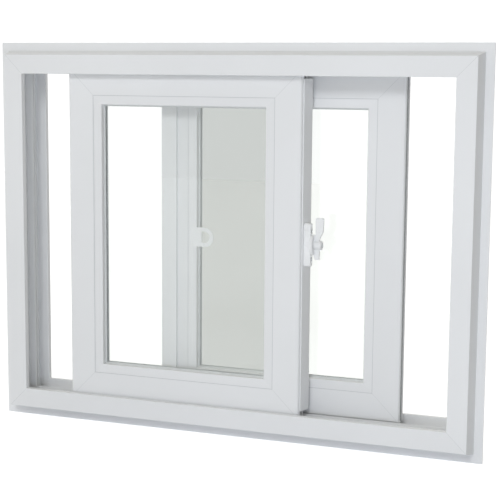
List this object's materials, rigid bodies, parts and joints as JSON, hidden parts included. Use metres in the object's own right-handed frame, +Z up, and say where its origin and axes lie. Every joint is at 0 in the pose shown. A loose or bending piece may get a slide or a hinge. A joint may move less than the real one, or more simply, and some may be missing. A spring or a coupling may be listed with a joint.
{
  "type": "horizontal sliding window",
  "caption": "White uPVC horizontal sliding window: mitred frame with a wall flange, double glazed sashes on rollers in parallel tracks, and a turn latch on the meeting stile.",
  "frame": {"origin": "middle of the bottom wall flange's back face, which lies on the wall", "axes": "+X along the window, +Y from the room into the wall, +Z up"},
  "size_m": [1.05, 0.11, 0.805],
  "materials": {
    "frame": "satin white",
    "sash": "satin white",
    "bead": "satin white",
    "glass": "clear",
    "spacer": "matt mill",
    "wheel": "nylon",
    "steel": "zinc plated",
    "latch": "white powder coat"
  },
  "bodies": {
    "frame": {"frame_sill": "frame", "frame_head": "frame", "frame_left_jamb": "frame", "frame_right_jamb": "frame"},
    "front_sash": {"front_sash_bottom_rail": "sash", "front_sash_top_rail": "sash", "front_sash_left_stile": "sash", "front_sash_right_stile": "sash", "front_bead_bottom": "bead", "front_bead_top": "bead", "front_bead_left": "bead", "front_bead_right": "bead", "front_pane_inner": "glass", "front_glass_spacer": "spacer", "front_pane_outer": "glass", "front_roller_left_wheel": "wheel", "front_roller_left_carriage": "steel", "front_roller_right_wheel": "wheel", "front_roller_right_carriage": "steel", "front_meeting_cover": "sash", "latch_base": "latch"},
    "rear_sash": {"rear_sash_bottom_rail": "sash", "rear_sash_top_rail": "sash", "rear_sash_left_stile": "sash", "rear_sash_right_stile": "sash", "rear_bead_bottom": "bead", "rear_bead_top": "bead", "rear_bead_left": "bead", "rear_bead_right": "bead", "rear_pane_inner": "glass", "rear_glass_spacer": "spacer", "rear_pane_outer": "glass", "rear_roller_left_wheel": "wheel", "rear_roller_left_carriage": "steel", "rear_roller_right_wheel": "wheel", "rear_roller_right_carriage": "steel", "rear_meeting_cover": "sash", "latch_keeper": "latch"},
    "latch": {"latch_lever": "latch"}
  },
  "joints": [
    {"name": "front_slide", "type": "slide", "parent": "frame", "child": "front_sash", "axis": [-1, 0, 0], "range_m": [-0.2575, 0.12]},
    {"name": "rear_slide", "type": "slide", "parent": "frame", "child": "rear_sash", "axis": [1, 0, 0], "range_m": [-0.298, 0.1275]},
    {"name": "latch_turn", "type": "hinge", "parent": "front_sash", "child": "latch", "pos_m": [0.1605, -0.002, 0.3995], "axis": [1, 0, 0], "range_deg": [0, 180]}
  ]
}
